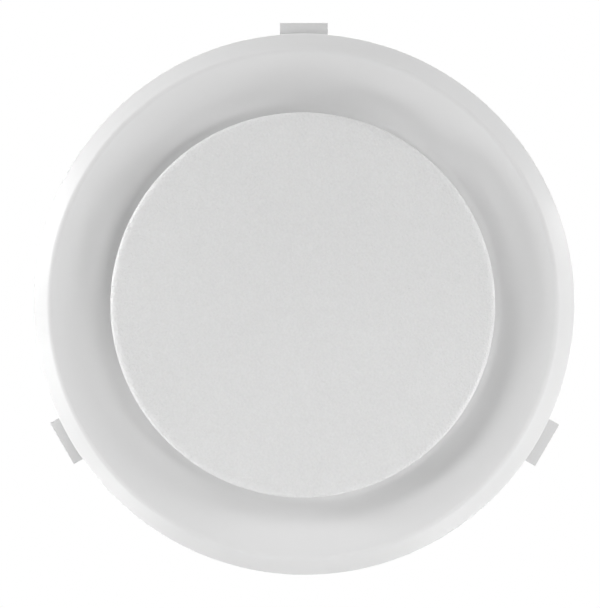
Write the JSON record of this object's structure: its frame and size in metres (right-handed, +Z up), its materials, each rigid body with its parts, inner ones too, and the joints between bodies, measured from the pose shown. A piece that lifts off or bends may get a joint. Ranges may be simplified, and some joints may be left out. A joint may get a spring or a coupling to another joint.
{
  "type": "ceiling air vent",
  "caption": "Round white plastic ceiling vent with a bevelled flange, a dished ring, a centre disc that screws in and out to set the air gap, sprung clips for the ceiling board and a duct neck.",
  "frame": {"origin": "on the vent's axis in the plane where the rim of the flange meets the ceiling", "axes": "+Z up along the vent's axis into the duct, the room below; the picture looks up along +Z with its right along +X and its top along -Y"},
  "size_m": [0.205, 0.2091, 0.0615],
  "materials": {
    "white_plastic": "white moulded plastic, fine texture on the disc",
    "clip_plastic": "white moulded plastic",
    "steel": "zinc plated",
    "spring_steel": "drawn wire"
  },
  "bodies": {
    "housing": {"housing": "white_plastic", "bridge": "white_plastic", "bridge_screws": "steel", "clip_pin_1": "steel", "clip_pin_2": "steel", "clip_pin_3": "steel", "clip_spring_1": "spring_steel", "clip_spring_2": "spring_steel", "clip_spring_3": "spring_steel"},
    "travel_washer": {"stop_washer": "steel"},
    "disc_and_stem": {"disc": "white_plastic", "stem": "white_plastic", "stem_clip": "steel", "disc_screws": "steel"},
    "clip_1": {"clip_arm_1": "clip_plastic"},
    "clip_2": {"clip_arm_2": "clip_plastic"},
    "clip_3": {"clip_arm_3": "clip_plastic"}
  },
  "joints": [
    {"name": "disc_travel", "type": "slide", "parent": "housing", "child": "travel_washer", "axis": [0, 0, 1], "range_m": [0, 0.006]},
    {"name": "disc_turn", "type": "hinge", "parent": "travel_washer", "child": "disc_and_stem", "pos_m": [0, 0, 0], "axis": [0, 0, 1], "range_deg": [0, 720]},
    {"name": "clip_1_swing", "type": "hinge", "parent": "housing", "child": "clip_1", "pos_m": [0, -0.0845, 0.017], "axis": [-1, 0, 0], "range_deg": [0, 115], "stiffness_Nm_per_rad": 0.08, "springref_deg": -57.3, "deforming": ["clip_spring_1"]},
    {"name": "clip_2_swing", "type": "hinge", "parent": "housing", "child": "clip_2", "pos_m": [0.07318, 0.04225, 0.017], "axis": [0.5, -0.866, 0], "range_deg": [0, 115], "stiffness_Nm_per_rad": 0.08, "springref_deg": -57.3, "deforming": ["clip_spring_2"]},
    {"name": "clip_3_swing", "type": "hinge", "parent": "housing", "child": "clip_3", "pos_m": [-0.07318, 0.04225, 0.017], "axis": [0.5, 0.866, 0], "range_deg": [0, 115], "stiffness_Nm_per_rad": 0.08, "springref_deg": -57.3, "deforming": ["clip_spring_3"]}
  ],
  "couplings": [
    {"joint": "disc_travel", "follows": "disc_turn", "m_per_rad": 0.000477}
  ]
}
